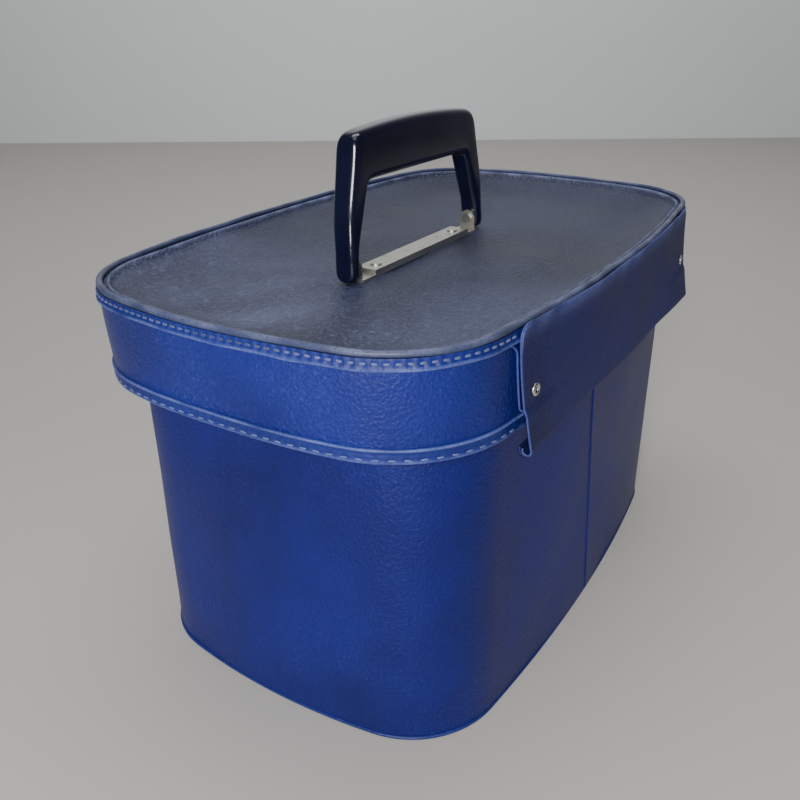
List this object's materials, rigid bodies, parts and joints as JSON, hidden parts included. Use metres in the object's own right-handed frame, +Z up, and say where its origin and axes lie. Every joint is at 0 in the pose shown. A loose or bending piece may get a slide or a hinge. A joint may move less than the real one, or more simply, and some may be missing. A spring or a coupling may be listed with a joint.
{
  "type": "vanity case",
  "caption": "Round-cornered box case covered in embossed leathercloth, with an overhanging hinged lid, a folding top handle, a mirror inside and a hasp with a slide bolt.",
  "frame": {"origin": "centre of the base, on the surface that the case stands on", "axes": "+Z up, +X along the case, +Y towards the hinges at the back"},
  "size_m": [0.3424, 0.217, 0.254],
  "materials": {
    "navy_leathercloth": "embossed vinyl, semi-gloss, scuffed",
    "dusty_grain_leathercloth": "grained vinyl, dulled by dust",
    "navy_edging": "smooth vinyl strip, worn along its edge",
    "rim_tape": "smooth vinyl tape",
    "board": "grey-brown board",
    "lining_cloth": "plain woven rayon",
    "navy_gloss_plastic": "polished moulding",
    "aged_nickel": "dull, yellowed nickel plate",
    "bright_nickel": "nickel plate",
    "plain_steel": "zinc plated",
    "mirror_silver": "silvered glass",
    "frame_plastic": "thin moulded frame"
  },
  "bodies": {
    "case": {"base_sheet": "navy_leathercloth", "base_board": "board", "wall_board": "board", "body_cover": "navy_leathercloth", "foot_binding": "navy_edging", "base_lining": "lining_cloth", "body_lining": "lining_cloth", "rim_binding": "rim_tape", "hinge_case_leaf_left": "plain_steel", "hinge_case_leaf_right": "plain_steel", "hinge_case_rivets": "plain_steel", "hinge_pins": "plain_steel", "lock_case": "bright_nickel", "lock_rivets": "bright_nickel", "bolt_guide": "plain_steel"},
    "bolt": {"slide_bolt": "plain_steel", "bolt_knob": "bright_nickel"},
    "lid": {"lid_band_board": "board", "lid_top_board": "board", "lid_top_cover": "dusty_grain_leathercloth", "lid_welt": "navy_edging", "lid_band_cover": "navy_leathercloth", "top_binding": "navy_edging", "lower_binding": "navy_edging", "lid_top_lining": "lining_cloth", "lid_band_lining": "lining_cloth", "back_flap": "navy_edging", "flap_rivets": "bright_nickel", "hinge_lid_leaf_left": "plain_steel", "hinge_lid_leaf_right": "plain_steel", "hinge_lid_rivets": "plain_steel", "handle_base_bar": "aged_nickel", "handle_backing_plate": "plain_steel", "handle_rivets": "aged_nickel", "mirror_glass": "mirror_silver", "mirror_frame": "frame_plastic", "hasp_plate": "bright_nickel", "hasp_rivets": "bright_nickel", "hasp_pin": "plain_steel"},
    "handle": {"handle_grip": "navy_gloss_plastic", "handle_pins": "plain_steel"},
    "hasp": {"hasp": "bright_nickel"}
  },
  "joints": [
    {"name": "lid_hinge", "type": "hinge", "parent": "case", "child": "lid", "pos_m": [0, 0.1016, 0.1489], "axis": [-1, 0, 0], "range_deg": [0, 95], "deforming": ["back_flap"]},
    {"name": "handle_fold", "type": "hinge", "parent": "lid", "child": "handle", "pos_m": [0.02, 0, 0.1945], "axis": [1, 0, 0], "range_deg": [-88, 82]},
    {"name": "hasp_flip", "type": "hinge", "parent": "lid", "child": "hasp", "pos_m": [0, -0.1078, 0.1524], "axis": [-1, 0, 0], "range_deg": [0, 110]},
    {"name": "bolt_slide", "type": "slide", "parent": "case", "child": "bolt", "axis": [-1, 0, 0], "range_m": [0, 0.005]}
  ]
}
